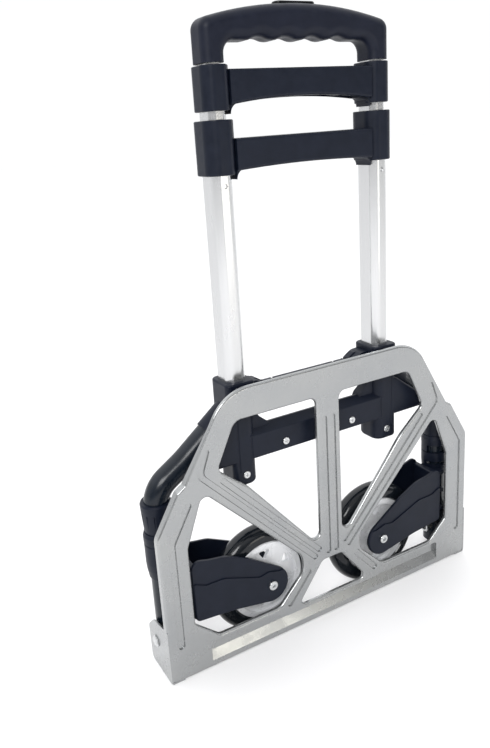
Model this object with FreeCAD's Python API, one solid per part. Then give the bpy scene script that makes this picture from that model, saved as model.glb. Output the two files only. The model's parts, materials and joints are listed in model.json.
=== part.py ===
"""Folding hand truck: telescoping handle, folding toe plate and two swing-out wheels.

Millimetres. X runs across the truck, +Y from the toe plate's outer face to the back, +Z up.
The truck is modelled folded flat. The origin is under the middle of its bounding box.
"""
import FreeCAD, Part
import math
import os

V = FreeCAD.Vector
os.makedirs("parts", exist_ok=True)

# ---------------------------------------------------------------- driving dimensions
PLATE_HALF_WIDTH = 200.0      # toe plate, centre to outer side flange
PLATE_HEIGHT = 290.0
SHEET = 1.8                   # toe plate sheet thickness
DEPTH = 53.6                  # whole folded depth
FRONT = -DEPTH / 2            # Y of the toe plate's outer face
BACK_LIMIT = DEPTH / 2

PIN_OFFSET = 31.5             # hinge pin behind the outer face, and above the ground
PIN_Y = FRONT + PIN_OFFSET
PIN_Z = PIN_OFFSET
PIN_RADIUS = 4.0

TUBE_Y = FRONT + 35.0         # plane of the side tubes and of the telescoping tubes
SIDE_TUBE_X = 184.0
SIDE_TUBE_RADIUS = 12.5
SIDE_TUBE_WALL = 1.5
SIDE_TUBE_BOTTOM = 11.0

MAST_X = 90.8                 # telescoping tubes, centre to centre / 2
MAST_WIDTH = 22.0             # outer tube section across X
MAST_DEPTH = 28.6             # outer tube section across Y
MAST_WALL = 1.2
STAGE_GAP = 0.35              # sliding clearance between two stages
TRAVEL = 185.0                # how far each stage slides out of the one below

WHEEL_X = 75.3
WHEEL_Y = FRONT + 27.5
WHEEL_RADIUS = 61.0
WHEEL_WIDTH = 24.0
AXLE_RADIUS = 4.0

FIT = 0.08                    # radial clearance of a pin that turns in its hole
CLEAR = 0.4                   # gap between two bodies that pass each other
SEAT = 0.05                   # gap round a tube that sits in a moulding
SCREW_HOLE = 1.6              # radius of every small screw's hole
PRESS = 0.02                  # gap round a pin or ring that never moves in its seat

# Heights of the main stations
SLEEVE_BOTTOM = 178.0         # housing sleeves round the outer tubes
HOUSING_TOP = 288.0
BEAM_BOTTOM = 204.5
LOWER_BAR = (484.0, 532.0)    # cross bar on the outer tubes
UPPER_BAR = (539.5, 578.0)    # cross bar on the middle tubes
HANDLE_BOTTOM = 579.6
CROWN_Z = 629.0
BUTTON_TRAVEL = 5.0


# ---------------------------------------------------------------- drawing helpers
def in_xz(y):
    """Drawing plane across the truck at depth y."""
    return lambda u, v: V(u, y, v)


def in_xy(z):
    """Drawing plane level with the ground at height z."""
    return lambda u, v: V(u, v, z)


def in_yz(x):
    """Drawing plane fore and aft at x."""
    return lambda u, v: V(x, u, v)


def rounded_corner(before, at, after, radius):
    """Start, middle and end of the arc that rounds the corner at `at`."""
    corner = V(at[0], at[1], 0)
    back = (V(before[0], before[1], 0) - corner).normalize()
    ahead = (V(after[0], after[1], 0) - corner).normalize()
    if radius <= 0:
        return corner, None, corner
    half = back.getAngle(ahead) / 2
    tangent = radius / math.tan(half)
    bisector = (back + ahead).normalize()
    middle = corner + bisector * (radius / math.sin(half) - radius)
    return corner + back * tangent, middle, corner + ahead * tangent


def rounded_wire(corners, place):
    """Closed wire through corners (u, v, radius); place turns (u, v) into a point."""
    count = len(corners)
    arcs = []
    for i, corner in enumerate(corners):
        following = corners[(i + 1) % count]
        arcs.append(rounded_corner(corners[i - 1], corner, following, corner[2]))
    edges = []
    for i, (start, middle, end) in enumerate(arcs):
        if middle is not None:
            points = [place(p.x, p.y) for p in (start, middle, end)]
            edges.append(Part.Arc(*points).toShape())
        next_start = arcs[(i + 1) % count][0]
        if (next_start - end).Length > 1e-6:
            edges.append(Part.makeLine(place(end.x, end.y), place(next_start.x, next_start.y)))
    return Part.Wire(edges)


def prism(wire, along):
    """Solid that fills a closed flat wire, drawn out along a vector."""
    return Part.Face(wire).extrude(along)


def slab(corners, y_low, y_high):
    """Solid with an XZ outline between two depths."""
    return prism(rounded_wire(corners, in_xz(y_low)), V(0, y_high - y_low, 0))


def column(corners, z_low, z_high):
    """Solid with an XY outline between two heights."""
    return prism(rounded_wire(corners, in_xy(z_low)), V(0, 0, z_high - z_low))


def box(low, high):
    return Part.makeBox(high[0] - low[0], high[1] - low[1], high[2] - low[2], V(*low))


def rod(radius, start, end):
    """Round bar from one point to another."""
    axis = end - start
    return Part.makeCylinder(radius, axis.Length, start, axis)


def tube(outer, inner, start, end):
    return rod(outer, start, end).cut(rod(inner, start, end))


def mirrored(shape):
    """The same piece on the other side of the truck."""
    return shape.mirror(V(0, 0, 0), V(1, 0, 0))


def both_sides(right):
    return Part.makeCompound([mirrored(right), right])


def flat_edges(shape, y):
    """Edges that lie in the plane at depth y."""
    return [e for e in shape.Edges
            if abs(e.BoundBox.YMin - y) < 1e-4 and abs(e.BoundBox.YMax - y) < 1e-4]


def level_edges(shape, z):
    """Edges that lie in the plane at height z."""
    return [e for e in shape.Edges
            if abs(e.BoundBox.ZMin - z) < 1e-4 and abs(e.BoundBox.ZMax - z) < 1e-4]


def fuse_all(shapes):
    return shapes[0].multiFuse(shapes[1:]).removeSplitter()


def save(name, shape):
    """Write one node, after a check that its solids are sound."""
    for solid in shape.Solids:
        if not solid.isValid() or solid.Volume <= 0:
            print("unsound solid in", name, round(solid.Volume, 2))
    shape.exportStep("parts/" + name + ".step")
    print("%-26s %2d solid(s) %10.0f mm3" % (name, len(shape.Solids), shape.Volume))


def save_pair(name, right):
    """Write a piece as NAME_right and its mirror image as NAME_left."""
    save(name + "_right", right)
    save(name + "_left", mirrored(right))


# ---------------------------------------------------------------- toe plate
OUTLINE_RIGHT = [(200, 0, 5), (200, 161, 14), (175, 203, 3), (167, 208, 3), (118.6, PLATE_HEIGHT, 46)]
UPPER_WINDOW = [(14.5, 86.5, 7), (98, 185.4, 40), (131, 213, 8), (109.3, 258, 12), (14.5, 258, 8)]
LOWER_WINDOW = [(70, 33.5, 13), (143, 33.5, 8), (169, 57, 8), (169, 142, 10),
                (149, 195.2, 7), (38.5, 83.4, 17), (38.5, 65, 17)]
CENTRE_WINDOW = [(47, 24.5, 5), (13, 69, 8), (-13, 69, 8), (-47, 24.5, 5)]
RIM_DEPTH = 8.0               # turned-back outer edge
RIM_ROUND = 2.6               # round-over of every edge on the outer face
WINDOW_LIP = 4.3              # turned-back window edges
GROUND_FLANGE = 14.0          # deeper flange along the bottom edge
EMBOSS = 1.4                  # depth of the pressed channels
EMBOSS_SLOPE = 0.6            # width of a channel's wall, seen from the front
TOP_RIM = [(3.2, 296), (3.2, 258), (RIM_DEPTH, 206), (24, 206), (24, 296)]   # the rim is shallower up here
EAR = [(0, 0, 3), (49, 0, 5), (50, 40, 9), (36, 54, 10), (8, 60, 4), (0, 60, 0)]


def flipped(corners):
    return [(-u, v, r) for u, v, r in reversed(corners)]


def plate_outline():
    return OUTLINE_RIGHT + flipped(OUTLINE_RIGHT)


def channel_corners(path, width, bend):
    """Outline of a channel that follows path, with rounded ends and bends."""
    left = []
    right = []
    for i, (u, v) in enumerate(path):
        here = V(u, v, 0)
        ways = []
        if i > 0:
            ways.append((here - V(path[i - 1][0], path[i - 1][1], 0)).normalize())
        if i < len(path) - 1:
            ways.append((V(path[i + 1][0], path[i + 1][1], 0) - here).normalize())
        normals = [V(-w.y, w.x, 0) for w in ways]
        mean = (normals[0] + normals[-1]).normalize()
        reach = width / 2 / mean.dot(normals[0])
        radius = bend if len(ways) == 2 else width * 0.48
        left.append((u + mean.x * reach, v + mean.y * reach, radius))
        right.append((u - mean.x * reach, v - mean.y * reach, radius))
    return left + right[::-1]


def pressed_channel(path, width, bend=8.0):
    """The hollow on the outer face and the matching swelling on the inner face."""
    top = rounded_wire(channel_corners(path, width, bend), in_xz(FRONT - 0.01))
    floor = rounded_wire(channel_corners(path, width - 2 * EMBOSS_SLOPE, bend), in_xz(FRONT + EMBOSS))
    hollow = Part.makeLoft([top, floor], True, True)
    base = rounded_wire(channel_corners(path, width + SHEET, bend), in_xz(FRONT + SHEET - 0.1))
    crest = rounded_wire(channel_corners(path, width, bend), in_xz(FRONT + SHEET + EMBOSS))
    swelling = Part.makeLoft([base, crest], True, True)
    return hollow, swelling


CHANNELS_RIGHT = [
    ([(5.3, 236), (5.3, 75.5)], 6.4),                     # centre bar
    ([(141, 238), (150.5, 213), (21, 75.5)], 6.2),        # diagonal, bent up at its top end
    ([(129, 203.5), (15.5, 82.5)], 6.2),                  # diagonal, straight
    ([(30.5, 65), (60, 31)], 7.0),                        # strip beside the centre window
    ([(186, 36), (186, 152), (164, 190)], 7.5),           # side band
]
LEDGE_HALF = 154.0            # recessed ledge along the bottom band
LEDGE_DEPTH = 4.4
LEDGE = [(-LEDGE_HALF, 17, 0), (LEDGE_HALF, 17, 0), (LEDGE_HALF, 29.5, 3), (84, 29.5, 3),
         (62, 20.5, 6), (-62, 20.5, 6), (-84, 29.5, 3), (-LEDGE_HALF, 29.5, 3)]


def bottom_ledge():
    """Recess in the bottom band: a flat floor with a wide bevel below it."""
    pocket = slab(LEDGE, FRONT - 0.01, FRONT + LEDGE_DEPTH)
    section = [(FRONT - 0.01, 7.5, 0), (FRONT + LEDGE_DEPTH, 17.0, 0), (FRONT - 0.01, 17.0, 0)]
    bevel = prism(rounded_wire(section, in_yz(-LEDGE_HALF)), V(2 * LEDGE_HALF, 0, 0))
    pad_corners = [(-LEDGE_HALF - 2, 4, 2), (LEDGE_HALF + 2, 4, 2), (LEDGE_HALF + 2, 31.5, 4),
                   (83.5, 31.5, 3), (61.5, 22.5, 6), (-61.5, 22.5, 6), (-83.5, 31.5, 3),
                   (-LEDGE_HALF - 2, 31.5, 4)]
    pad = slab(pad_corners, FRONT + SHEET - 0.1, FRONT + LEDGE_DEPTH + 1.4)
    return pocket.fuse(bevel), pad


def side_ear():
    """Ear of the side flange that carries the hinge bolt, on the right."""
    corners = [(FRONT + u, v, r) for u, v, r in EAR]
    ear = prism(rounded_wire(corners, in_yz(PLATE_HALF_WIDTH - SHEET)), V(SHEET, 0, 0))
    stiffener = slab([(186, 0, 0), (199, 0, 0), (199, SHEET, 0), (186, SHEET, 0)], FRONT, FRONT + 44)
    return ear.fuse(stiffener)


def toe_plate():
    outline = rounded_wire(plate_outline(), in_xz(FRONT))
    windows = [UPPER_WINDOW, flipped(UPPER_WINDOW), LOWER_WINDOW, flipped(LOWER_WINDOW), CENTRE_WINDOW]
    blank = prism(outline, V(0, RIM_DEPTH, 0))
    blank = blank.cut([slab(window, FRONT - 1, FRONT + RIM_DEPTH + 1) for window in windows])
    blank = blank.makeFillet(RIM_ROUND, flat_edges(blank, FRONT))
    inside = Part.Face(outline).makeOffset2D(-SHEET)
    inside.translate(V(0, SHEET, 0))
    lips = []
    for window in windows:
        edge = Part.Face(rounded_wire(window, in_xz(FRONT))).makeOffset2D(SHEET)
        lips.append(edge.extrude(V(0, WINDOW_LIP, 0)))
    dish = inside.extrude(V(0, RIM_DEPTH, 0)).cut(lips)
    shallow = prism(rounded_wire([(FRONT + u, v, 0) for u, v in TOP_RIM], in_yz(-210)), V(420, 0, 0))
    plate = blank.cut([dish, shallow])
    flange_x = PLATE_HALF_WIDTH - 4
    plate = plate.fuse(box((-flange_x, FRONT + 4, 0), (flange_x, FRONT + GROUND_FLANGE, SHEET)))
    ears = side_ear()
    plate = plate.multiFuse([ears, mirrored(ears)])
    hollow, pad = bottom_ledge()
    hollows = [hollow]
    plate = plate.fuse(pad)
    for path, width in CHANNELS_RIGHT:
        channel, swelling = pressed_channel(path, width)
        hollows += [channel, mirrored(channel)]
        plate = plate.multiFuse([swelling, mirrored(swelling)])
    for window in windows:
        hollows.append(slab(window, FRONT - 1, FRONT + RIM_DEPTH + 1))
    pin_hole = rod(PIN_RADIUS + FIT, V(-210, PIN_Y, PIN_Z), V(210, PIN_Y, PIN_Z))
    for x in (-31, -11, 11, 31):
        hollows.append(Part.makeSphere(2.4, V(x, FRONT - 1.6, 13.5)))
    return plate.cut(hollows + [pin_hole]).removeSplitter()


# ---------------------------------------------------------------- side tubes and their fittings
# Centre line of a side tube in the XZ plane: straight up, in over the wheels, up to the housing.
SIDE_TUBE_PATH = [(SIDE_TUBE_X, SIDE_TUBE_BOTTOM), (SIDE_TUBE_X, 194.0), (150.0, 215.5), (111.2, 246.0)]
SIDE_TUBE_BENDS = [30.0, 120.0]


def side_tube_line(z_start, beyond):
    """Centre line of the right side tube from height z_start up into the housing."""
    points = [(SIDE_TUBE_X, z_start)] + SIDE_TUBE_PATH[1:]
    edges = []
    at = V(points[0][0], points[0][1], 0)
    for i, radius in enumerate(SIDE_TUBE_BENDS):
        start, middle, end = rounded_corner(points[i], points[i + 1], points[i + 2], radius)
        edges.append(Part.makeLine(V(at.x, TUBE_Y, at.y), V(start.x, TUBE_Y, start.y)))
        edges.append(Part.Arc(*[V(p.x, TUBE_Y, p.y) for p in (start, middle, end)]).toShape())
        at = end
    start = V(at.x, TUBE_Y, at.y)
    end = V(points[-1][0], TUBE_Y, points[-1][1])
    edges.append(Part.makeLine(start, end + (end - start).normalize() * beyond))
    return Part.Wire(edges)


def side_tube_core(radius, z_start=SIDE_TUBE_BOTTOM, beyond=0.0):
    """Solid round bar of the given radius along the right side tube, and beyond its upper end."""
    ring = Part.makeCircle(radius, V(SIDE_TUBE_X, TUBE_Y, z_start), V(0, 0, 1))
    return side_tube_line(z_start, beyond).makePipeShell([Part.Wire(ring)], True, True)


def side_tube():
    shell = side_tube_core(SIDE_TUBE_RADIUS).cut(side_tube_core(SIDE_TUBE_RADIUS - SIDE_TUBE_WALL))
    bolt_hole = rod(PIN_RADIUS + FIT, V(165, PIN_Y, PIN_Z), V(205, PIN_Y, PIN_Z))
    guide_hole = rod(2.0, *guide_pin_ends(SIDE_TUBE_RADIUS - 4, SIDE_TUBE_RADIUS + 2))
    return shell.cut([bolt_hole, guide_hole])


def tube_end_plug():
    """Plastic plug in the open bottom end of the side tube."""
    cap = rod(SIDE_TUBE_RADIUS, V(SIDE_TUBE_X, TUBE_Y, 8.5), V(SIDE_TUBE_X, TUBE_Y, 11.0))
    stem = rod(SIDE_TUBE_RADIUS - SIDE_TUBE_WALL, V(SIDE_TUBE_X, TUBE_Y, 11.0), V(SIDE_TUBE_X, TUBE_Y, 24.0))
    cap = cap.makeChamfer(1.0, level_edges(cap, 8.5))
    return cap.fuse(stem)


def hinge_bolt():
    """Bolt through the plate's ear and the side tube, with a hexagon head outside."""
    shank = rod(PIN_RADIUS, V(168, PIN_Y, PIN_Z), V(200.3, PIN_Y, PIN_Z))
    corners = []
    for i in range(6):
        angle = math.radians(60 * i + 15)
        corners.append((PIN_Y + 6.6 * math.cos(angle), PIN_Z + 6.6 * math.sin(angle), 0.6))
    head = prism(rounded_wire(corners, in_yz(200.3)), V(2.6, 0, 0))
    dome = Part.makeSphere(10.0, V(193.4, PIN_Y, PIN_Z))
    return shank.fuse(head.common(dome))


def hinge_washer():
    """Spacer between the ear and the side tube."""
    ring = tube(8.5, PIN_RADIUS + PRESS, V(194.5, PIN_Y, PIN_Z), V(197.8, PIN_Y, PIN_Z))
    return ring.cut(rod(SIDE_TUBE_RADIUS, V(SIDE_TUBE_X, TUBE_Y, 0), V(SIDE_TUBE_X, TUBE_Y, 60)))


def hinge_nut():
    """Locking nut on the inner side of the side tube."""
    corners = []
    for i in range(6):
        angle = math.radians(60 * i)
        corners.append((PIN_Y + 7.2 * math.cos(angle), PIN_Z + 7.2 * math.sin(angle), 0.5))
    nut = prism(rounded_wire(corners, in_yz(165.5)), V(6.0, 0, 0))
    collar = rod(6.0, V(164.0, PIN_Y, PIN_Z), V(165.5, PIN_Y, PIN_Z))
    nut = nut.fuse(collar)
    nut = nut.cut(rod(PIN_RADIUS + PRESS, V(160, PIN_Y, PIN_Z), V(175, PIN_Y, PIN_Z)))
    return nut.cut(rod(SIDE_TUBE_RADIUS, V(SIDE_TUBE_X, TUBE_Y, 0), V(SIDE_TUBE_X, TUBE_Y, 60)))


# ---------------------------------------------------------------- swing collars on the side tubes
COLLAR = (153.0, 184.0)       # fixed upper collar
STOP_RING = (141.0, 152.6)    # fixed ring with the stop tooth
HUB = (103.0, 140.5)          # turning hub of the wheel bracket
TOOTH_DEPTH = 9.0
GUIDE_Z = 118.0               # guide pin that keeps the hub from sliding
SWING = 90.0                  # degrees that a wheel bracket turns
TOOTH_START = 150.0           # degrees, where the stop tooth begins on the right tube
TOOTH_SPAN = 40.0
GUIDE_ANGLE = 195.0           # degrees, direction of the guide pin on the right tube


def turned(profile, x, y):
    """Solid of revolution about the vertical line through (x, y); profile is (radius, z)."""
    wire = Part.makePolygon([V(x + r, y, z) for r, z in profile + profile[:1]])
    return Part.Face(wire).revolve(V(x, y, 0), V(0, 0, 1), 360)


def sector(radius, start, span, z_low, z_high):
    """Pie slice about the right side tube's axis, start and span in degrees."""
    slice_ = Part.makeCylinder(radius, z_high - z_low, V(0, 0, 0), V(0, 0, 1), span)
    slice_.rotate(V(0, 0, 0), V(0, 0, 1), start)
    slice_.translate(V(SIDE_TUBE_X, TUBE_Y, z_low))
    return slice_


def guide_pin_ends(inner, outer):
    """Two points along the guide pin's axis, at these distances from the tube's axis."""
    angle = math.radians(GUIDE_ANGLE)
    way = V(math.cos(angle), math.sin(angle), 0)
    centre = V(SIDE_TUBE_X, TUBE_Y, GUIDE_Z)
    return centre + way * inner, centre + way * outer


def swing_collar():
    """Fixed fluted collar above the stop ring."""
    low, high = COLLAR
    profile = [(0, low), (13.9, low), (15.5, high - 7), (15.7, high - 2), (14.9, high), (0, high)]
    collar = turned(profile, SIDE_TUBE_X, TUBE_Y)
    flutes = []
    for i in range(12):
        angle = math.radians(30 * i)
        foot = V(SIDE_TUBE_X + 15.3 * math.cos(angle), TUBE_Y + 15.3 * math.sin(angle), low - 1)
        flutes.append(rod(1.1, foot, foot + V(0, 0, 22)))
    return collar.cut(flutes + [side_tube_core(SIDE_TUBE_RADIUS + PRESS, low - 20)])


def stop_ring():
    """Fixed ring whose tooth reaches down into the hub's notch and limits the swing."""
    bore = SIDE_TUBE_RADIUS + PRESS
    low, high = STOP_RING
    profile = [(bore, low), (15.8, low), (15.9, low + 3), (15.9, high - 4), (14.6, high), (bore, high)]
    ring = turned(profile, SIDE_TUBE_X, TUBE_Y)
    tooth = sector(15.6, TOOTH_START, TOOTH_SPAN, low - TOOTH_DEPTH, low + 1)
    tooth = tooth.cut(rod(bore, V(SIDE_TUBE_X, TUBE_Y, 0), V(SIDE_TUBE_X, TUBE_Y, 200)))
    return ring.fuse(tooth)


def guide_pin():
    return rod(1.95, *guide_pin_ends(SIDE_TUBE_RADIUS - 2, SIDE_TUBE_RADIUS + 2.6))


# ---------------------------------------------------------------- wheel brackets
ARM_TIP_RADIUS = 20.0
FRONT_ARM = (FRONT + 5.5, FRONT + 9.5)
REAR_ARM = (FRONT + 45.5, FRONT + 48.5)
BOLT_END_Y = FRONT + 52.0
ARM_ROOT_X = 165.0
ARM_STEP = 1.2                # recess of the arm's upper face


def tangent_point(outside, centre, radius, side):
    """Where a line from an outside point touches a circle; side is +1 or -1."""
    reach = V(outside[0] - centre[0], outside[1] - centre[1], 0)
    angle = math.atan2(reach.y, reach.x) + side * math.acos(radius / reach.Length)
    return centre[0] + radius * math.cos(angle), centre[1] + radius * math.sin(angle)


def arm(y_low, y_high):
    """One side plate of the wheel bracket, on the right."""
    axle = (WHEEL_X, WHEEL_RADIUS)
    top = tangent_point((101, 102), axle, ARM_TIP_RADIUS, 1)
    bottom = tangent_point((121, 49.5), axle, ARM_TIP_RADIUS, -1)
    corners = [(bottom[0], bottom[1], 0), (121, 49.5, 40), (140, 51.5, 40), (ARM_ROOT_X, 54, 5),
               (ARM_ROOT_X, 123, 8), (146, 117.5, 30), (127, 114.5, 30), (101, 102, 40),
               (top[0], top[1], 0), (WHEEL_X, WHEEL_RADIUS, 0)]
    blade = slab(corners, y_low, y_high)
    tip = rod(ARM_TIP_RADIUS, V(WHEEL_X, y_low, WHEEL_RADIUS), V(WHEEL_X, y_high, WHEEL_RADIUS))
    return blade.fuse(tip).removeSplitter()


def wheel_bracket():
    """Fork that carries a wheel and turns about its side tube, on the right."""
    front = arm(*FRONT_ARM)
    front = front.makeFillet(1.6, flat_edges(front, FRONT_ARM[0]))
    above_step = [(50, 74, 0), (66, 74, 4), (79, 77.5, 4), (90, 75.5, 10), (131, 91, 12), (152, 91.5, 8),
                  (162, 96.5, 4), (180, 97, 0), (180, 140, 0), (50, 140, 0)]
    front = front.cut(slab(above_step, FRONT_ARM[0] - 1, FRONT_ARM[0] + ARM_STEP))
    rear = arm(*REAR_ARM)
    rear = rear.makeFillet(0.9, flat_edges(rear, REAR_ARM[1]))
    web_corners = [(ARM_ROOT_X - 6, 56, 2), (ARM_ROOT_X + 1, 56, 2), (ARM_ROOT_X + 1, 115, 2),
                   (ARM_ROOT_X - 6, 115, 2)]
    web = slab(web_corners, FRONT_ARM[1] - 1, REAR_ARM[0] + 1)
    hub_profile = [(9.0, HUB[0]), (13.8, HUB[0]), (15.2, HUB[0] + 9), (15.7, HUB[0] + 16),
                   (15.7, HUB[1] - 1.5), (15.0, HUB[1]), (9.0, HUB[1])]
    hub = turned(hub_profile, SIDE_TUBE_X, TUBE_Y)
    saddle = rod(15.4, V(SIDE_TUBE_X, TUBE_Y, 57), V(SIDE_TUBE_X, TUBE_Y, 105))
    saddle = saddle.common(box((ARM_ROOT_X - 1, FRONT, 50), (SIDE_TUBE_X - 4, BACK_LIMIT, 110)))
    ribs = []
    for z in (60, 84, 108):
        ribs.append(box((ARM_ROOT_X, FRONT_ARM[1] + 4, z), (SIDE_TUBE_X - 6, REAR_ARM[0] - 3, z + 4)))
    bracket = fuse_all([front, rear, web, hub, saddle] + ribs)
    bore = rod(SIDE_TUBE_RADIUS + CLEAR, V(SIDE_TUBE_X, TUBE_Y, 0), V(SIDE_TUBE_X, TUBE_Y, 200))
    notch = sector(20, TOOTH_START - 3, TOOTH_SPAN + SWING + 6, HUB[1] - TOOTH_DEPTH - 0.5, HUB[1] + 5)
    slot = sector(20, GUIDE_ANGLE - 12, SWING + 24, GUIDE_Z - 2.4, GUIDE_Z + 2.4)
    axle = rod(AXLE_RADIUS + PRESS, V(WHEEL_X, FRONT, WHEEL_RADIUS), V(WHEEL_X, BACK_LIMIT, WHEEL_RADIUS))
    return bracket.cut([bore, notch, slot, axle])


def axle_bolt():
    """Bolt through both arms, with a domed head in front."""
    head_y = FRONT_ARM[0]
    at = V(WHEEL_X, head_y, WHEEL_RADIUS)
    shank = rod(AXLE_RADIUS, at - V(0, 0.2, 0), V(WHEEL_X, BOLT_END_Y, WHEEL_RADIUS))
    head = rod(5.2, at - V(0, 3.0, 0), at - V(0, PRESS, 0))
    head = head.makeFillet(1.3, flat_edges(head, head_y - 3.0))
    socket = Part.makeCone(1.9, 2.3, 1.8, at - V(0, 1.4, 0), V(0, -1, 0))
    return shank.fuse(head).cut(socket)


def axle_nut():
    low = REAR_ARM[1] + PRESS
    corners = []
    for i in range(6):
        angle = math.radians(60 * i)
        corners.append((WHEEL_X + 7.0 * math.cos(angle), WHEEL_RADIUS + 7.0 * math.sin(angle), 0.5))
    nut = slab(corners, low, BOLT_END_Y - 0.6)
    hole = rod(AXLE_RADIUS + PRESS, V(WHEEL_X, 0, WHEEL_RADIUS), V(WHEEL_X, 40, WHEEL_RADIUS))
    return nut.cut(hole)


HUB_HALF = 9.0                # half length of the wheel's hub along the axle
BUSH_RADIUS = 6.5


def axle_spacers():
    """Two sleeves on the axle that centre the wheel between the arms."""
    sleeves = []
    for low, high in ((FRONT_ARM[1], WHEEL_Y - HUB_HALF - CLEAR), (WHEEL_Y + HUB_HALF + CLEAR, REAR_ARM[0])):
        start = V(WHEEL_X, low + PRESS, WHEEL_RADIUS)
        end = V(WHEEL_X, high - PRESS, WHEEL_RADIUS)
        sleeves.append(tube(BUSH_RADIUS, AXLE_RADIUS + PRESS, start, end))
    return Part.makeCompound(sleeves)


# ---------------------------------------------------------------- wheels
RIM_RADIUS = 44.0
SPOKES = 6


def wheel_turned(profile):
    """Solid of revolution about the right wheel's axle; profile is (offset along Y, radius)."""
    wire = Part.makePolygon([V(WHEEL_X, WHEEL_Y + y, WHEEL_RADIUS + r) for y, r in profile + profile[:1]])
    return Part.Face(wire).revolve(V(WHEEL_X, WHEEL_Y, WHEEL_RADIUS), V(0, 1, 0), 360)


def tyre():
    """Solid tyre with a round tread and a shallow groove at each shoulder."""
    half = WHEEL_WIDTH / 2
    seat = RIM_RADIUS + SEAT
    crown = V(WHEEL_X, WHEEL_Y, 2 * WHEEL_RADIUS)
    inner_side = [(half, 50), (half, RIM_RADIUS + 1.5), (half - 2, seat), (2 - half, seat),
                  (-half, RIM_RADIUS + 1.5), (-half, 50)]
    points = [V(WHEEL_X, WHEEL_Y + y, WHEEL_RADIUS + r) for y, r in inner_side]
    edges = [Part.Arc(points[-1], crown, points[0]).toShape()]
    for a, b in zip(points, points[1:]):
        edges.append(Part.makeLine(a, b))
    body = Part.Face(Part.Wire(edges)).revolve(V(WHEEL_X, WHEEL_Y, WHEEL_RADIUS), V(0, 1, 0), 360)
    grooves = []
    for side in (-1, 1):
        centre = V(WHEEL_X, WHEEL_Y + side * 7.2, WHEEL_RADIUS)
        grooves.append(Part.makeTorus(57.6, 0.8, centre, V(0, 1, 0)))
    return body.cut(grooves)


def wheel_hub():
    """Moulded wheel centre: rim, a disc with triangular openings in front, and ribs behind it."""
    rim = wheel_turned([(-11.2, 37.5), (-11.2, 43.2), (-10.2, RIM_RADIUS), (10.2, RIM_RADIUS),
                        (11.2, 43.2), (11.2, 37.5), (2, 36.5), (-2, 36.5)])
    web = wheel_turned([(-8.5, 10), (-8.0, 38), (-5.0, 38), (-5.0, 10)])
    barrel = wheel_turned([(-HUB_HALF, BUSH_RADIUS + PRESS), (-HUB_HALF, 11), (-5, 13), (5, 13),
                           (HUB_HALF, 11), (HUB_HALF, BUSH_RADIUS + PRESS)])
    centre = V(WHEEL_X, WHEEL_Y, WHEEL_RADIUS)
    openings = []
    ribs = []
    for i in range(SPOKES):
        angle = 360.0 / SPOKES * i
        hole = slab([(WHEEL_X, WHEEL_RADIUS + 22.5, 1.2), (WHEEL_X + 7.5, WHEEL_RADIUS + 33.5, 1.5),
                     (WHEEL_X - 7.5, WHEEL_RADIUS + 33.5, 1.5)], WHEEL_Y - 10, WHEEL_Y + 10)
        hole.rotate(centre, V(0, 1, 0), angle)
        openings.append(hole)
        rib = box((WHEEL_X - 1.2, WHEEL_Y - 6, WHEEL_RADIUS + 10),
                  (WHEEL_X + 1.2, WHEEL_Y + 7, WHEEL_RADIUS + 38))
        rib.rotate(centre, V(0, 1, 0), angle + 180.0 / SPOKES)
        ribs.append(rib)
    hub = fuse_all([rim, web, barrel] + ribs)
    bore = rod(BUSH_RADIUS + PRESS, centre - V(0, 20, 0), centre + V(0, 20, 0))
    return hub.cut(openings + [bore])


def wheel_bush():
    """Plain bearing pressed into the hub."""
    start = V(WHEEL_X, WHEEL_Y - HUB_HALF, WHEEL_RADIUS)
    return tube(BUSH_RADIUS, AXLE_RADIUS + FIT, start, start + V(0, 2 * HUB_HALF, 0))


# ---------------------------------------------------------------- telescoping mast
def mast_section(inset, z):
    """Closed outline of the right mast tube, set in from the outer tube's surface."""
    half_w = MAST_WIDTH / 2
    half_d = MAST_DEPTH / 2
    flat = 5.4
    corners = [(-half_w, -half_d + 6.5, 5.2), (-flat, -half_d, 5.2), (flat, -half_d, 5.2),
               (half_w, -half_d + 6.5, 5.2), (half_w, half_d, 8.0), (-half_w, half_d, 8.0)]
    wire = rounded_wire([(MAST_X + u, TUBE_Y + v, r) for u, v, r in corners], in_xy(z))
    if inset:
        wire = Part.Face(wire).makeOffset2D(-inset).OuterWire
    return wire


def mast_solid(inset, z_low, z_high):
    return prism(mast_section(inset, z_low), V(0, 0, z_high - z_low))


def stage_inset(stage):
    """How far a stage's outer surface lies inside the outer tube's; stages are 0, 1 and 2."""
    return stage * (MAST_WALL + STAGE_GAP)


STAGE_SPANS = [(182.0, 528.0), (283.0, 574.0), (348.0, 601.5)]
LOCK_DROP = 9.5               # locking hole below the sleeve of the same stage
LOCK_HOLE_RADIUS = 2.3
ROD_RADIUS = 2.0              # release rod inside the inner tube
ROD_Y = TUBE_Y + 2.5
SLEEVE_SCREW = (91.3, 190.0)  # housing screw that also pins the outer tube
SLEEVE_WALL = 4.3             # wall of a cross bar's sleeve
BAR_SCREW_SINK = 2.6
BAR_SCREW_Z = 20.0            # rear screw above the sleeve's lower end
BAR_SET_BACK = 2.0            # front face of a cross bar behind its sleeves'


def lock_point(stage):
    """Where the pin of the stage above locks into this stage's front when it is pulled out."""
    sleeve = LOWER_BAR if stage == 0 else UPPER_BAR
    return V(MAST_X, TUBE_Y - MAST_DEPTH / 2 + stage_inset(stage), sleeve[0] - LOCK_DROP)


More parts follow.
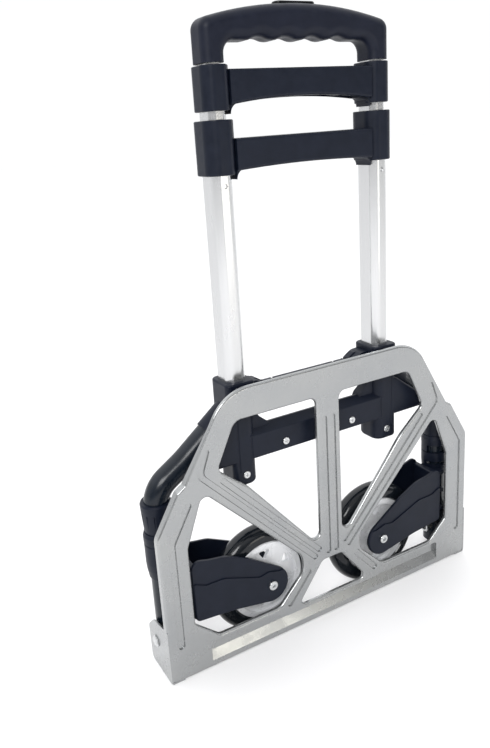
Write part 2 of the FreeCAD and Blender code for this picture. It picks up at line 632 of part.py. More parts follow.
def mast_tube(stage):
    low, high = STAGE_SPANS[stage]
    inset = stage_inset(stage)
    shell = mast_solid(inset, low, high).cut(mast_solid(inset + MAST_WALL, low - 1, high + 1))
    if stage == 0:
        x, z = SLEEVE_SCREW
        shell = shell.cut(rod(SCREW_HOLE, V(x, FRONT, z), V(x, TUBE_Y, z)))
    if stage < 2:
        at = lock_point(stage)
        shell = shell.cut(rod(LOCK_HOLE_RADIUS, at - V(0, 3, 0), at + V(0, 5, 0)))
    if stage > 0:
        shell = shell.cut(lock_pin_bar(stage, LOCK_HOLE_RADIUS))
    return shell


def lock_pin_bar(stage, radius):
    """Bar along the locking pin that the lower end of this stage carries, from its front face in."""
    z = lock_point(stage - 1).z - TRAVEL
    face = TUBE_Y - MAST_DEPTH / 2 + stage_inset(stage)
    return rod(radius, V(MAST_X, face - 0.05, z), V(MAST_X, face + 8.0, z))


def lock_plug(stage):
    """Plastic plug in the lower end of a sliding tube; it carries the locking pin."""
    low = STAGE_SPANS[stage][0]
    inset = stage_inset(stage)
    plug = mast_solid(inset + MAST_WALL + PRESS, low, low + 24)
    foot = mast_solid(inset, low - 3, low)
    socket = rod(ROD_RADIUS + 0.6, V(MAST_X, ROD_Y, low + 6), V(MAST_X, ROD_Y, low + 30))
    return plug.fuse(foot).cut([lock_pin_bar(stage, LOCK_HOLE_RADIUS), socket])


def sleeve_reach(stage):
    """Half the depth of a cross bar's sleeve, measured from the tubes' plane."""
    return MAST_DEPTH / 2 - stage_inset(stage) + SLEEVE_WALL


def bar_screw_seat(stage, span):
    """Where the head of the right rear screw of a cross bar sits."""
    return V(MAST_X, TUBE_Y + sleeve_reach(stage) - BAR_SCREW_SINK, span[0] + BAR_SCREW_Z)


def cross_bar(stage, span, bar_top, bar_ends, bar_middle):
    """Moulded bar that joins the two tubes of a stage; it closes round them as two sleeves."""
    low, high = span
    sleeve = mast_solid(stage_inset(stage) - SLEEVE_WALL, low, high)
    sleeve = sleeve.makeFillet(1.2, level_edges(sleeve, high) + level_edges(sleeve, low))
    inner_x = MAST_X - MAST_WIDTH / 2 + stage_inset(stage) - SLEEVE_WALL + 2
    y_low = TUBE_Y - sleeve_reach(stage) + BAR_SET_BACK
    y_high = TUBE_Y + 12.5
    top = [V(-inner_x, y_low, bar_top), V(inner_x, y_low, bar_top)]
    ends = [V(inner_x, y_low, bar_ends), V(-inner_x, y_low, bar_ends)]
    arch = Part.Arc(ends[0], V(0, y_low, bar_middle), ends[1]).toShape()
    outline = Part.Wire([Part.makeLine(top[0], top[1]), Part.makeLine(top[1], ends[0]), arch,
                         Part.makeLine(ends[1], top[0])])
    bar = prism(outline, V(0, y_high - y_low, 0))
    bar = bar.makeFillet(2.5, [e for e in flat_edges(bar, y_low) + flat_edges(bar, y_high)
                               if e.BoundBox.XLength > 20])
    body = fuse_all([bar, sleeve, mirrored(sleeve)])
    gusset = gusset_under(inner_x, bar_ends, y_low + 3, y_high - 3)
    body = fuse_all([body, gusset, mirrored(gusset)])
    pocket = box((-inner_x + 8, y_low + 3, bar_ends - 10), (inner_x - 8, y_high - 3, bar_middle + 10))
    for x in (-40, 0, 40):
        pocket = pocket.cut(box((x - 1, y_low, bar_ends - 10), (x + 1, y_high, bar_top)))
    tube_room = mast_solid(stage_inset(stage) - SEAT, low - 1, STAGE_SPANS[stage][1] + SEAT)
    way_through = mast_solid(stage_inset(stage + 1) - STAGE_GAP, low - 1, high + 1)
    seat = bar_screw_seat(stage, span)
    screw = rod(SCREW_HOLE, seat - V(0, 5, 0), seat)
    head_room = rod(3.2, seat, seat + V(0, 5, 0))
    cuts = [pocket]
    for room in (tube_room, way_through, screw, head_room):
        cuts += [room, mirrored(room)]
    return body.cut(cuts)


def gusset_under(x, z, y_low, y_high):
    """Small concave fillet between the underside of a bar and its right sleeve."""
    radius = 9.0
    corner = V(x, y_low, z + 1.5)
    start = corner - V(radius, 0, 0)
    end = corner - V(0, 0, radius)
    middle = corner - V(1, 0, 1) * (radius * (1 - math.sqrt(0.5)))
    outline = Part.Wire([Part.Arc(start, middle, end).toShape(), Part.makeLine(end, corner),
                         Part.makeLine(corner, start)])
    return prism(outline, V(0, y_high - y_low, 0))


def pan_screw(at, way, head_radius, length):
    """Cross-recessed pan-head screw; at is under its head, way points out of the head."""
    head = rod(head_radius, at + way * PRESS, at + way * 2.4)
    rim = [e for e in head.Edges if (e.CenterOfMass - (at + way * 2.4)).Length < 0.01]
    head = head.makeFillet(1.0, rim)
    shank = rod(SCREW_HOLE - 0.05, at - way * length, at + way * 0.1)
    across = way.cross(V(0, 0, 1)).normalize()
    cuts = []
    for side in (across, V(0, 0, 1)):
        start = at + way * 2.0 - side * (head_radius * 0.5)
        bar = rod(0.45, start, start + side * head_radius)
        cuts.append(bar)
        cuts.append(bar.translated(way * 0.45))
    return head.fuse(shank).cut(cuts)


def bar_screws(stage, span):
    """Screws through the back of a cross bar's sleeves."""
    return both_sides(pan_screw(bar_screw_seat(stage, span), V(0, 1, 0), 2.9, 1.6))


def parted(body, z_low):
    """Front and rear halves of a moulding, parted in the plane of the tubes."""
    front = body.common(box((-220, FRONT - 10, z_low), (220, TUBE_Y - PRESS, z_low + 250)))
    rear = body.common(box((-220, TUBE_Y + PRESS, z_low), (220, BACK_LIMIT + 10, z_low + 250)))
    return front, rear


# ---------------------------------------------------------------- housing between the side tubes
HOUSING_FRONT = FRONT + 16.0
HOUSING_BACK = FRONT + 51.4
SLEEVE_HALF = 14.2            # half width of a housing sleeve
SCREW_SPOTS = [(42.7, 213.4), SLEEVE_SCREW]
SCREW_SINK = 1.4


def housing_body():
    """The housing as one closed solid, before it is parted and bored."""
    sleeve = column([(MAST_X - SLEEVE_HALF, HOUSING_FRONT, 11), (MAST_X + SLEEVE_HALF, HOUSING_FRONT, 5),
                     (MAST_X + SLEEVE_HALF, HOUSING_BACK, 13), (MAST_X - SLEEVE_HALF, HOUSING_BACK, 13)],
                    SLEEVE_BOTTOM, HOUSING_TOP)
    sleeve = sleeve.makeFillet(4.0, level_edges(sleeve, SLEEVE_BOTTOM))
    collar = column([(MAST_X - 16.2, HOUSING_FRONT - 0.6, 6), (MAST_X + 16.2, HOUSING_FRONT - 0.6, 6),
                     (MAST_X + 16.2, HOUSING_BACK + 0.6, 8), (MAST_X - 16.2, HOUSING_BACK + 0.6, 8)],
                    HOUSING_TOP - 30, HOUSING_TOP)
    collar = collar.makeFillet(2.0, level_edges(collar, HOUSING_TOP))
    beam_section = [(HOUSING_FRONT, BEAM_BOTTOM, 1.5), (HOUSING_FRONT, 229.5, 1.0),
                    (HOUSING_FRONT + 10, 236, 1.5), (HOUSING_FRONT + 13, 236, 2),
                    (HOUSING_FRONT + 24, 223, 4), (HOUSING_BACK, 220, 2), (HOUSING_BACK, BEAM_BOTTOM, 1.5)]
    beam = prism(rounded_wire(beam_section, in_yz(0)), V(MAST_X, 0, 0))
    swell = slab([(55, 215, 0), (MAST_X, 215, 0), (MAST_X, 262, 0), (77, 262, 0), (70, 246, 14),
                  (58, 236.5, 10)], HOUSING_FRONT + 7, HOUSING_FRONT + 18)
    web = slab([(95, BEAM_BOTTOM, 0), (141, BEAM_BOTTOM, 3), (151, 215, 6), (130, 230, 14), (107, 247, 4),
                (95, 252, 0)], HOUSING_FRONT, HOUSING_BACK)
    web = web.makeFillet(2.5, [e for e in flat_edges(web, HOUSING_FRONT) + flat_edges(web, HOUSING_BACK)
                               if e.BoundBox.XMax > 96])
    rail = slab([(0, 266.5, 0), (80, 266.5, 0), (80, 282, 0), (63, 281.5, 5), (52, 274.5, 8), (0, 274.5, 0)],
                TUBE_Y + 1, TUBE_Y + 9)
    flare = slab([(50, 266, 2), (80, 256, 0), (80, 283, 0), (66, 282, 5), (55, 275.5, 8)],
                 TUBE_Y - 8, TUBE_Y + 10)
    bend, end = [V(x, TUBE_Y, z) for x, z in SIDE_TUBE_PATH[-2:]]
    socket = rod(SIDE_TUBE_RADIUS + 1.4, bend + (end - bend) * 0.72, bend + (end - bend) * 1.35)
    right = fuse_all([sleeve, collar, beam, swell, web, socket, rail, flare])
    return fuse_all([right, mirrored(right)])


def housing_shells():
    """Front and rear halves of the housing, bored for the tubes and screws."""
    body = housing_body()
    mast_room = mast_solid(-SEAT, STAGE_SPANS[0][0] - SEAT, HOUSING_TOP + 1)
    tube_room = side_tube_core(SIDE_TUBE_RADIUS + SEAT, 60.0, SEAT)
    drain = mast_solid(MAST_WALL + 2, SLEEVE_BOTTOM - 1, STAGE_SPANS[0][0])
    cuts = []
    for room in (mast_room, tube_room, drain):
        cuts += [room, mirrored(room)]
    for x, z in SCREW_SPOTS:
        for side in (-1, 1):
            at = V(side * x, HOUSING_FRONT, z)
            cuts.append(rod(4.4, at - V(0, 2, 0), at + V(0, SCREW_SINK, 0)))
            cuts.append(rod(SCREW_HOLE, at, at + V(0, 26, 0)))
    for x_low, x_high in ((4, 34), (38, 70)):
        pocket = slab([(x_low, 207.5, 2), (x_high, 207.5, 2), (x_high, 216.5, 2), (x_low, 216.5, 2)],
                      HOUSING_BACK - 9, HOUSING_BACK + 1)
        cuts += [pocket, mirrored(pocket)]
    for x in (39.5, 53.5):
        notch = box((x - 1.2, TUBE_Y - 10, 270.5), (x + 1.2, TUBE_Y + 12, 290))
        cuts += [notch, mirrored(notch)]
    for x in (-7.5, 7.5):
        foot = V(MAST_X + x, HOUSING_FRONT - 0.4, SLEEVE_BOTTOM + 16)
        flute = rod(1.0, foot, foot + V(0, 0, 80))
        cuts += [flute, mirrored(flute)]
    return parted(body.cut(cuts), 100)


def housing_screws():
    screws = []
    for x, z in SCREW_SPOTS:
        at = V(x, HOUSING_FRONT + SCREW_SINK, z)
        screw = pan_screw(at, V(0, -1, 0), 4.0, 16.0)
        screws += [mirrored(screw), screw]
    return Part.makeCompound(screws)


# ---------------------------------------------------------------- handle
LEG_HALF = 12.0               # half width of a leg of the handle
CROWN_RADIUS = 391.0          # large arc over the top of the grip
SHOULDER_RADIUS = 11.0
HANDLE_HALF_DEPTH = 15.0
EDGE_ROUND = 9.0              # soft edges all along the handle
GRIP_Z = 599.0                # underside of the grip
GRIP_WAVE = 1.4               # height of the finger waves
WAVE_LENGTH = 29.2
WAVES = 4
YOKE_Z = 607.5                # underside of the yoke at rest
YOKE_THICKNESS = 3.0
BUTTON = (22.0, 6.5)          # half length and half width
HANDLE_SCREW_SPOTS = [(36.0, 617.0), (70.0, 614.5)]
SPRING_SPAN = (590.0, YOKE_Z - 0.1)


def grip_underside(y):
    """Wavy lower edge of the grip: arcs that meet smoothly halfway up each wave."""
    quarter = WAVE_LENGTH / 4
    radius = (quarter ** 2 + GRIP_WAVE ** 2) / (2 * GRIP_WAVE)
    reach = WAVES * WAVE_LENGTH / 2

    def at(x):
        nearest = round((x + reach) / (2 * quarter))
        way = 1 if nearest % 2 else -1
        offset = x + reach - nearest * 2 * quarter
        drop = radius - math.sqrt(radius ** 2 - offset ** 2)
        return V(x, y, GRIP_Z + way * (GRIP_WAVE - drop))

    stations = [-reach + quarter * i for i in range(4 * WAVES + 1)]
    edges = [Part.Arc(at(a), at((a + b) / 2), at(b)).toShape() for a, b in zip(stations, stations[1:])]
    return edges, at(reach)


def handle_outline(y):
    """Outline of the whole handle: two legs, an arched top and a wavy grip."""
    outer = MAST_X + LEG_HALF
    inner = MAST_X - LEG_HALF + 2
    wave, wave_right = grip_underside(y)
    nook = rounded_corner((inner, HANDLE_BOTTOM), (inner, wave_right.z), (wave_right.x, wave_right.z), 11.0)
    # The shoulder's arc touches both the leg's side and the crown's large arc.
    crown_centre_z = CROWN_Z - CROWN_RADIUS
    shoulder_x = outer - SHOULDER_RADIUS
    shoulder_z = crown_centre_z + math.sqrt((CROWN_RADIUS - SHOULDER_RADIUS) ** 2 - shoulder_x ** 2)
    lean = math.atan2(shoulder_z - crown_centre_z, shoulder_x)
    shoulder = []
    for angle in (0, lean / 2, lean):
        shoulder.append(V(shoulder_x + SHOULDER_RADIUS * math.cos(angle), y,
                          shoulder_z + SHOULDER_RADIUS * math.sin(angle)))
    right_up = Part.makeLine(V(outer, y, HANDLE_BOTTOM), shoulder[0])
    right_shoulder = Part.Arc(*shoulder).toShape()
    left_shoulder = mirrored(right_shoulder)
    end = shoulder[2]
    crown = Part.Arc(end, V(0, y, CROWN_Z), V(-end.x, y, end.z)).toShape()
    right_nook = Part.Arc(*[V(p.x, y, p.y) for p in nook]).toShape()
    right_inner = Part.makeLine(V(inner, y, HANDLE_BOTTOM), V(inner, y, nook[0].y))
    grip_right = Part.makeLine(V(nook[2].x, y, wave_right.z), wave_right)
    foot = Part.makeLine(V(inner, y, HANDLE_BOTTOM), V(outer, y, HANDLE_BOTTOM))
    halves = [right_up, right_shoulder, right_nook, right_inner, grip_right, foot]
    edges = halves + [mirrored(e) for e in halves if e is not right_shoulder] + [left_shoulder, crown] + wave
    return Part.Wire(Part.__sortEdges__(edges))


def handle_body():
    low = TUBE_Y - HANDLE_HALF_DEPTH
    high = TUBE_Y + HANDLE_HALF_DEPTH
    body = prism(handle_outline(low), V(0, high - low, 0))
    long_edges = [e for e in flat_edges(body, low) + flat_edges(body, high)
                  if e.BoundBox.ZMax > HANDLE_BOTTOM + 0.5]
    return body.makeFillet(EDGE_ROUND, long_edges)


def button_corners(grow):
    half_l = BUTTON[0] + grow
    half_w = BUTTON[1] + grow
    r = half_w - 0.3
    return [(-half_l, TUBE_Y - half_w, r), (half_l, TUBE_Y - half_w, r), (half_l, TUBE_Y + half_w, r),
            (-half_l, TUBE_Y + half_w, r)]


def handle_shells():
    """Front and rear halves of the handle, hollow for the tubes and the release yoke."""
    body = handle_body()
    pressed_z = YOKE_Z - BUTTON_TRAVEL - CLEAR
    tube_room = mast_solid(stage_inset(2) - SEAT, HANDLE_BOTTOM - 1, pressed_z + 0.5)
    yoke_room = box((-MAST_X - 5, TUBE_Y - 4.5, pressed_z), (MAST_X + 5, TUBE_Y + 9.5, YOKE_Z + 5))
    button_room = column(button_corners(CLEAR), pressed_z + YOKE_THICKNESS, CROWN_Z + 5)
    cuts = [tube_room, mirrored(tube_room), yoke_room, button_room]
    for x, z in HANDLE_SCREW_SPOTS:
        for side in (-1, 1):
            at = V(side * x, TUBE_Y + HANDLE_HALF_DEPTH, z)
            cuts.append(rod(3.6, at - V(0, 2.4, 0), at + V(0, 3, 0)))
            cuts.append(rod(SCREW_HOLE, at - V(0, 20, 0), at))
    return parted(body.cut(cuts), 500)


def handle_screws():
    screws = []
    for x, z in HANDLE_SCREW_SPOTS:
        at = V(x, TUBE_Y + HANDLE_HALF_DEPTH - 2.4, z)
        screw = pan_screw(at, V(0, 1, 0), 3.2, 16.0)
        screws += [mirrored(screw), screw]
    return Part.makeCompound(screws)


def release_button():
    """Push button in the crown of the handle, standing on the yoke."""
    top = CROWN_Z + 2.2
    button = column(button_corners(0), YOKE_Z + YOKE_THICKNESS, top)
    return button.makeFillet(1.4, level_edges(button, top))


def release_yoke():
    """Flat bar under the button that pushes both release rods."""
    reach = MAST_X + 4.2
    top = YOKE_Z + YOKE_THICKNESS - PRESS
    bar = box((-reach, TUBE_Y - 3.5, YOKE_Z), (reach, TUBE_Y + 8.5, top))
    return bar.makeFillet(2.0, [e for e in bar.Edges if abs(e.BoundBox.ZLength - (top - YOKE_Z)) < 0.01])


def release_rod():
    """Rod inside the inner tube, from the yoke down to the locking plug."""
    foot = V(MAST_X, ROD_Y, STAGE_SPANS[2][0] + 6 + BUTTON_TRAVEL + 2)
    return rod(ROD_RADIUS, foot, V(MAST_X, ROD_Y, YOKE_Z - PRESS))


def spring_seat():
    """Plug in the top of the inner tube that the return spring stands on."""
    plug = mast_solid(stage_inset(2) + MAST_WALL + PRESS, SPRING_SPAN[0] - 10, SPRING_SPAN[0])
    axis = V(MAST_X, ROD_Y, 0)
    return plug.cut(rod(ROD_RADIUS + CLEAR, axis + V(0, 0, 560), axis + V(0, 0, 620)))


def release_spring():
    """Outer form of the coil spring round the rod."""
    low, high = SPRING_SPAN
    axis = V(MAST_X, ROD_Y, 0)
    return tube(3.6, ROD_RADIUS + CLEAR, axis + V(0, 0, low + 0.1), axis + V(0, 0, high))


# ---------------------------------------------------------------- write every node
def main():
    save("toe_plate", toe_plate())
    save_pair("side_tube", side_tube())
    save("tube_end_plugs", both_sides(tube_end_plug()))
    save("hinge_bolts", both_sides(hinge_bolt()))
    save("hinge_washers", both_sides(hinge_washer()))
    save("hinge_nuts", both_sides(hinge_nut()))
    save_pair("swing_collar", swing_collar())
    save_pair("stop_ring", stop_ring())
    save("guide_pins", both_sides(guide_pin()))
    front, rear = housing_shells()
    save("housing_front_shell", front)
    save("housing_rear_shell", rear)
    save("housing_screws", housing_screws())

    save_pair("wheel_bracket", wheel_bracket())
    save_pair("axle_bolt", axle_bolt())
    save_pair("axle_nut", axle_nut())
    save_pair("axle_spacers", axle_spacers())
    save_pair("tyre", tyre())
    save_pair("wheel_hub", wheel_hub())
    save_pair("wheel_bush", wheel_bush())

    for stage, name in enumerate(("outer_tube", "middle_tube", "inner_tube")):
        save_pair(name, mast_tube(stage))
    save("lower_cross_bar", cross_bar(0, LOWER_BAR, 515.5, 487.0, 489.5))
    save("lower_bar_screws", bar_screws(0, LOWER_BAR))
    save("upper_cross_bar", cross_bar(1, UPPER_BAR, 574.0, 544.0, 549.5))
    save("upper_bar_screws", bar_screws(1, UPPER_BAR))
    for stage, name in ((1, "middle"), (2, "inner")):
        save(name + "_tube_plugs", both_sides(lock_plug(stage)))
        save(name + "_lock_pins", both_sides(lock_pin_bar(stage, LOCK_HOLE_RADIUS - 0.03)))

    front, rear = handle_shells()
    save("handle_front_shell", front)
    save("handle_rear_shell", rear)
    save("handle_screws", handle_screws())
    save("release_button", release_button())
    save("release_yoke", release_yoke())
    save("release_rods", both_sides(release_rod()))
    save("spring_seats", both_sides(spring_seat()))
    save("release_springs", both_sides(release_spring()))


main()
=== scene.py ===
"""Looks of a folding hand truck: silver plate, bright telescoping tubes, black mouldings, wheels.

Metres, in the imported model's own frame: X across, +Y from the toe plate to the back, +Z up.
"""
import json
import math

import bmesh
import bpy
from mathutils import Matrix, Vector


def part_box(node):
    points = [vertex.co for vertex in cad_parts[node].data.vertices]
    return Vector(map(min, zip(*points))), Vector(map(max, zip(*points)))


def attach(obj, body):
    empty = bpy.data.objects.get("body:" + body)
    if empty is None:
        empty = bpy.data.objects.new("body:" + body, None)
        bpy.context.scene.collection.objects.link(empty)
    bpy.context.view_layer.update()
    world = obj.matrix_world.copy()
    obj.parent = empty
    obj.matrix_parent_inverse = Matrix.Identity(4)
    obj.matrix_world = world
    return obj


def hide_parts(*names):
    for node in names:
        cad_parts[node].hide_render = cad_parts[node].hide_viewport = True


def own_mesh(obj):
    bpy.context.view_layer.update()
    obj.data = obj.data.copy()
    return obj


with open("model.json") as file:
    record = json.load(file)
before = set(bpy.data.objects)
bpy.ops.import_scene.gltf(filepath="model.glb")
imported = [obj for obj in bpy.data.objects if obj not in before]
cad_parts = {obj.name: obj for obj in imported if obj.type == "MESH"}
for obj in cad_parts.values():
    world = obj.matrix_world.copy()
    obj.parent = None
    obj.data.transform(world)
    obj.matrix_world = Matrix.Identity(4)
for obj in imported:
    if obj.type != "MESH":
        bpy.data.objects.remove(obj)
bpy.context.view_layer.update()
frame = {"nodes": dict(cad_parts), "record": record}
MM = 0.001


# ---------------------------------------------------------------- materials
NOISE_LOW = 0.3               # nearly all of a noise lies between these two
NOISE_HIGH = 0.7
NOISE_ROUGHNESS = 0.55
PEBBLE_SMOOTHNESS = 0.6


class Look:
    """A Principled material and the textures that feed it, all in the piece's own coordinates."""

    def __init__(self, name, **constants):
        self.material = bpy.data.materials.new(name)
        self.material.use_nodes = True
        self.tree = self.material.node_tree
        self.shader = self.tree.nodes["Principled BSDF"]
        self.place = self.tree.nodes.new("ShaderNodeTexCoord").outputs["Object"]
        for socket, value in constants.items():
            self.shader.inputs[socket.replace("_", " ")].default_value = value
        self.bumps = None

    def stretched(self, stretch):
        """The piece's own coordinates, with a texture's features longer where stretch is below 1."""
        mapping = self.tree.nodes.new("ShaderNodeMapping")
        mapping.inputs["Scale"].default_value = stretch
        self.tree.links.new(self.place, mapping.inputs["Vector"])
        return mapping.outputs["Vector"]

    def noise(self, size_mm, detail, stretch=(1, 1, 1)):
        """Soft noise with features about size_mm across."""
        node = self.tree.nodes.new("ShaderNodeTexNoise")
        node.inputs["Scale"].default_value = 1.0 / (size_mm * MM)
        node.inputs["Detail"].default_value = detail
        node.inputs["Roughness"].default_value = NOISE_ROUGHNESS
        self.tree.links.new(self.stretched(stretch), node.inputs["Vector"])
        return node.outputs["Fac"]

    def cells(self, size_mm):
        """Rounded pebbles about size_mm across, like a spark-eroded mould leaves them."""
        node = self.tree.nodes.new("ShaderNodeTexVoronoi")
        node.feature = "SMOOTH_F1"
        node.inputs["Scale"].default_value = 1.0 / (size_mm * MM)
        node.inputs["Smoothness"].default_value = PEBBLE_SMOOTHNESS
        self.tree.links.new(self.stretched((1, 1, 1)), node.inputs["Vector"])
        return node.outputs["Distance"]

    def spread(self, value, low, high):
        """The value of a noise, stretched from its usual range to low..high."""
        node = self.tree.nodes.new("ShaderNodeMapRange")
        node.inputs["From Min"].default_value = NOISE_LOW
        node.inputs["From Max"].default_value = NOISE_HIGH
        node.inputs["To Min"].default_value = low
        node.inputs["To Max"].default_value = high
        self.tree.links.new(value, node.inputs["Value"])
        return node.outputs["Result"]

    def colour(self, value, first, second):
        """Base colour that runs from first to second with the value."""
        node = self.tree.nodes.new("ShaderNodeMix")
        node.data_type = "RGBA"
        node.inputs["A"].default_value = (*first, 1)
        node.inputs["B"].default_value = (*second, 1)
        self.tree.links.new(self.spread(value, 0, 1), node.inputs["Factor"])
        self.tree.links.new(node.outputs["Result"], self.shader.inputs["Base Color"])

    def roughness(self, value, low, high):
        """Roughness that runs from low to high with the value."""
        self.tree.links.new(self.spread(value, low, high), self.shader.inputs["Roughness"])

    def bump(self, value, height_mm, strength):
        """Add relief of that height to the relief made so far."""
        node = self.tree.nodes.new("ShaderNodeBump")
        node.inputs["Strength"].default_value = strength
        node.inputs["Distance"].default_value = height_mm * MM
        self.tree.links.new(value, node.inputs["Height"])
        if self.bumps is not None:
            self.tree.links.new(self.bumps, node.inputs["Normal"])
        self.bumps = node.outputs["Normal"]
        self.tree.links.new(self.bumps, self.shader.inputs["Normal"])
        return self


def plate_metal():
    """Satin silver sheet: an even fine tooth, with faint clouds where it was handled."""
    look = Look("plate_metal", Metallic=0.85, Coat_Weight=0.15, Coat_Roughness=0.25)
    look.colour(look.noise(60, 4), (0.335, 0.345, 0.352), (0.370, 0.377, 0.377))
    look.roughness(look.noise(18, 5), 0.22, 0.31)
    look.bump(look.noise(0.6, 2), 0.003, 0.12)
    return look.bump(look.noise(30, 2), 0.06, 0.2)


def mast_aluminium():
    """Bright extruded aluminium: fine draw lines along the tube under a clear anodised skin."""
    look = Look("mast_aluminium", Metallic=0.9, Anisotropic=0.35, Coat_Weight=0.2, Coat_Roughness=0.2)
    lines = look.noise(0.5, 3, stretch=(1, 1, 0.003))
    look.colour(lines, (0.585, 0.59, 0.595), (0.64, 0.645, 0.65))
    look.roughness(look.noise(14, 3, stretch=(1, 1, 0.2)), 0.22, 0.28)
    return look.bump(lines, 0.004, 0.2)


def black_moulding(name, dark, light, rough, grain_mm, relief_mm):
    """Blue-black moulded plastic with a fine spark grain and slow changes in sheen."""
    look = Look(name, Specular_IOR_Level=0.19)
    look.colour(look.noise(14, 4), dark, light)
    look.roughness(look.noise(7, 4), rough - 0.05, rough + 0.06)
    look.bump(look.cells(grain_mm), relief_mm, 0.5)
    return look.bump(look.noise(16, 2), 0.10, 0.2)


def tube_paint():
    """Semi-gloss black powder coat with the faint ripple that such paint has."""
    look = Look("black_tube", Specular_IOR_Level=0.26, Coat_Weight=0.12, Coat_Roughness=0.1)
    look.colour(look.noise(12, 4), (0.004, 0.007, 0.012), (0.007, 0.011, 0.018))
    look.roughness(look.noise(5, 3), 0.20, 0.28)
    return look.bump(look.noise(1.6, 2), 0.02, 0.3)


def tyre_rubber():
    """Polished black polyurethane, slightly uneven in sheen."""
    look = Look("tyre_black", Specular_IOR_Level=0.28, Coat_Weight=0.12, Coat_Roughness=0.05)
    look.colour(look.noise(10, 4), (0.004, 0.006, 0.009), (0.008, 0.010, 0.013))
    look.roughness(look.noise(4, 5), 0.10, 0.18)
    look.bump(look.noise(9, 2), 0.08, 0.3)
    return look.bump(look.noise(0.7, 2), 0.006, 0.3)


def hub_plastic():
    """Silver-white moulded nylon with a pearly sheen and flow clouds."""
    look = Look("hub_plastic", Metallic=0.1, Specular_IOR_Level=0.55, Coat_Weight=0.2,
                Coat_Roughness=0.2)
    look.colour(look.noise(9, 3), (0.74, 0.75, 0.77), (0.78, 0.79, 0.81))
    look.roughness(look.noise(5, 3), 0.24, 0.36)
    return look.bump(look.noise(0.8, 2), 0.01, 0.4)


def zinc_steel():
    """Bright zinc plating: crisp, slightly mottled, with tiny tool marks."""
    look = Look("zinc_steel", Metallic=1.0)
    look.colour(look.noise(1.5, 4), (0.50, 0.51, 0.51), (0.66, 0.67, 0.68))
    look.roughness(look.noise(0.9, 3), 0.14, 0.3)
    return look.bump(look.noise(0.35, 2), 0.01, 0.4)


def nylon():
    """Natural nylon: milky, a little waxy."""
    look = Look("nylon", Specular_IOR_Level=0.45, Subsurface_Weight=0.15, Subsurface_Scale=0.002)
    look.colour(look.noise(4, 3), (0.66, 0.65, 0.60), (0.76, 0.75, 0.71))
    look.roughness(look.noise(2, 3), 0.38, 0.5)
    return look.bump(look.noise(0.5, 2), 0.01, 0.4)


def spring_steel():
    """Drawn spring wire, oiled grey and finely mottled."""
    look = Look("spring_wire", Metallic=1.0)
    look.colour(look.noise(0.8, 3), (0.36, 0.36, 0.37), (0.50, 0.50, 0.51))
    look.roughness(look.noise(0.5, 3), 0.25, 0.4)
    return look.bump(look.noise(0.25, 2), 0.006, 0.4)


LOOKS = {
    "plate_metal": plate_metal(),
    "mast_aluminium": mast_aluminium(),
    "black_tube": tube_paint(),
    "black_plastic": black_moulding(
        "black_plastic", (0.0045, 0.0070, 0.0150), (0.0070, 0.0100, 0.0200),
        rough=0.40, grain_mm=0.55, relief_mm=0.02),
    "handle_plastic": black_moulding(
        "handle_plastic", (0.0055, 0.0075, 0.0160), (0.0085, 0.0110, 0.0220),
        rough=0.44, grain_mm=0.8, relief_mm=0.03),
    "button_plastic": black_moulding(
        "button_plastic", (0.004, 0.005, 0.006), (0.007, 0.008, 0.009),
        rough=0.24, grain_mm=0.5, relief_mm=0.008),
    "tyre_black": tyre_rubber(),
    "hub_plastic": hub_plastic(),
    "zinc_steel": zinc_steel(),
    "nylon": nylon(),
}


def dress_nodes():
    """Give every carried-over CAD node the look of its material slot."""
    for part in frame["record"]["subparts"]:
        node = frame["nodes"][part["node"]]
        node.data.materials.clear()
        node.data.materials.append(LOOKS[part["material_slot"]].material)


# ---------------------------------------------------------------- pieces made here
def new_piece(name, mesh, look, body, stands_for):
    """Put a mesh in the scene, dressed, riding on its CAD body and standing for CAD nodes."""
    piece = bpy.data.objects.new(name, mesh)
    bpy.context.scene.collection.objects.link(piece)
    mesh.materials.append(look.material)
    for face in mesh.polygons:
        face.use_smooth = True
    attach(piece, body)
    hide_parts(*stands_for)
    return piece


SPRING_WIRE = 0.00045         # radius
SPRING_TURNS = 8
TURN_STEPS = 16               # points on one turn


def coil_rise(turn, turns, wire, height):
    """Height of the wire's middle line, after so many turns, over where it starts.

    The first and the last turn are closed: they rise by one wire's thickness only.
    """
    thick = 2 * wire
    share = min(max((turn - 1) / (turns - 2), 0), 1)
    ends = min(turn, 1) + max(turn - turns + 1, 0)
    return share * (height - 2 * thick) + ends * thick


def coil_mesh(axis, low, high, radius, wire, turns):
    """Compression spring of round wire about a vertical axis, with closed end turns."""
    curve = bpy.data.curves.new("coil", "CURVE")
    curve.dimensions = "3D"
    curve.bevel_depth = wire
    curve.bevel_resolution = 4
    curve.use_fill_caps = True
    spline = curve.splines.new("NURBS")
    count = turns * TURN_STEPS + 1
    spline.points.add(count - 1)
    bottom = low + wire
    height = high - wire - bottom
    for i in range(count):
        turn = i / TURN_STEPS
        angle = 2 * math.pi * turn
        x = axis.x + radius * math.cos(angle)
        y = axis.y + radius * math.sin(angle)
        spline.points[i].co = (x, y, bottom + coil_rise(turn, turns, wire, height), 1)
    spline.order_u = 4
    spline.use_endpoint_u = True
    holder = bpy.data.objects.new("coil_holder", curve)
    bpy.context.scene.collection.objects.link(holder)
    bpy.context.view_layer.update()
    solved = holder.evaluated_get(bpy.context.evaluated_depsgraph_get())
    mesh = bpy.data.meshes.new_from_object(solved)
    bpy.data.objects.remove(holder)
    return mesh


